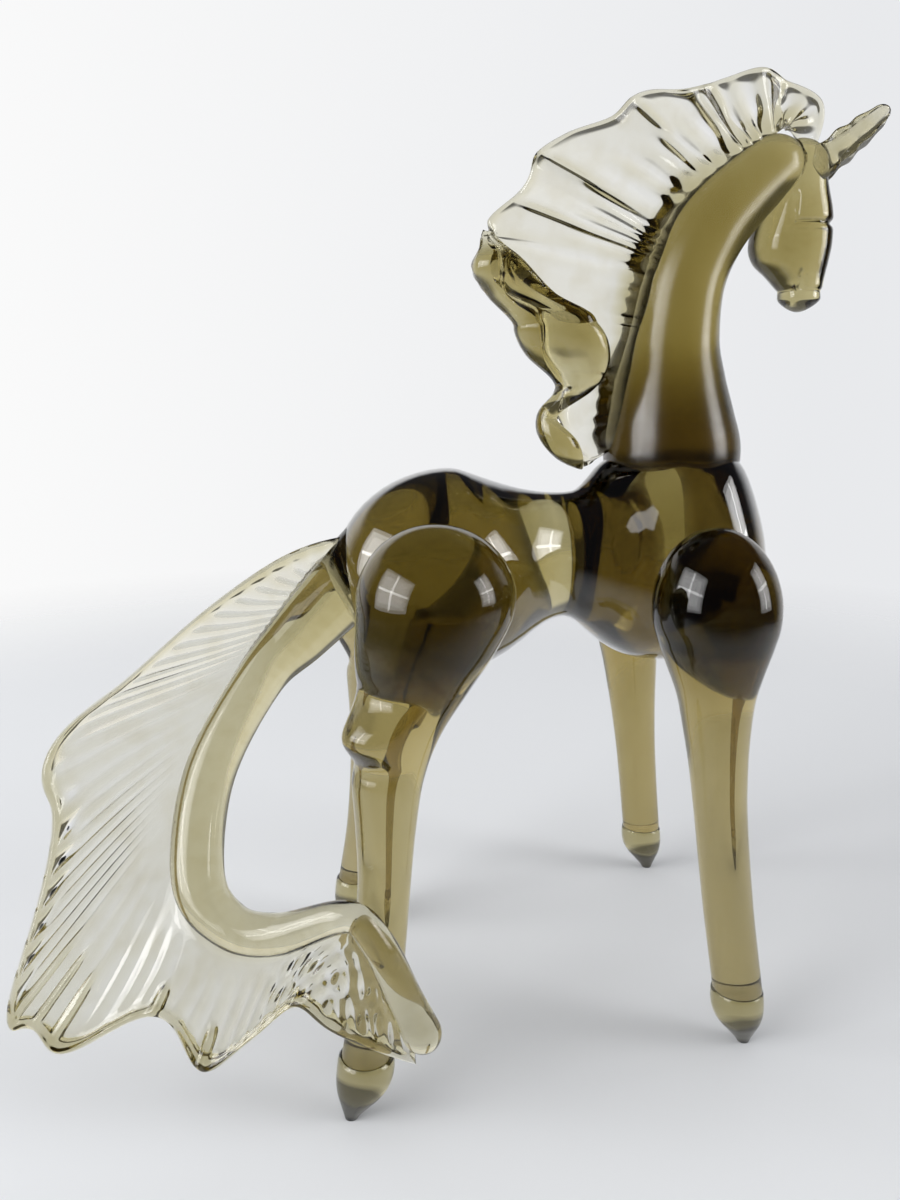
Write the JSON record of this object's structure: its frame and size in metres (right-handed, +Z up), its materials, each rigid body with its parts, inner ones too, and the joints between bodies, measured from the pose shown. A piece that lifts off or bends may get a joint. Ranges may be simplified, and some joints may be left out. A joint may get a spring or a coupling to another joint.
{
  "type": "glass horse figurine",
  "caption": "Standing horse of solid smoky glass with a pinched waist, arched neck, ruffled ribbon mane and a tail bent in a C with a ribbed fan. Ornament.",
  "frame": {"origin": "on the floor, under the middle of the bounding box", "axes": "+X the way the horse faces, +Y to its left, +Z up"},
  "size_m": [0.2074, 0.1066, 0.2295],
  "materials": {
    "body_glass": "fire polished, smoky olive brown",
    "clear_glass": "fire polished, thin and pale",
    "foot_glass": "fire polished, smoky olive"
  },
  "bodies": {
    "root": {"torso": "body_glass", "neck": "body_glass", "head": "body_glass", "fore_right_leg": "body_glass", "fore_left_leg": "body_glass", "hind_right_leg": "body_glass", "hind_left_leg": "body_glass", "tail_stem": "body_glass", "mane": "clear_glass", "right_ear": "clear_glass", "left_ear": "clear_glass", "tail_fan": "clear_glass", "fore_right_hoof": "foot_glass", "fore_left_hoof": "foot_glass", "hind_right_hoof": "foot_glass", "hind_left_hoof": "foot_glass"}
  },
  "joints": []
}
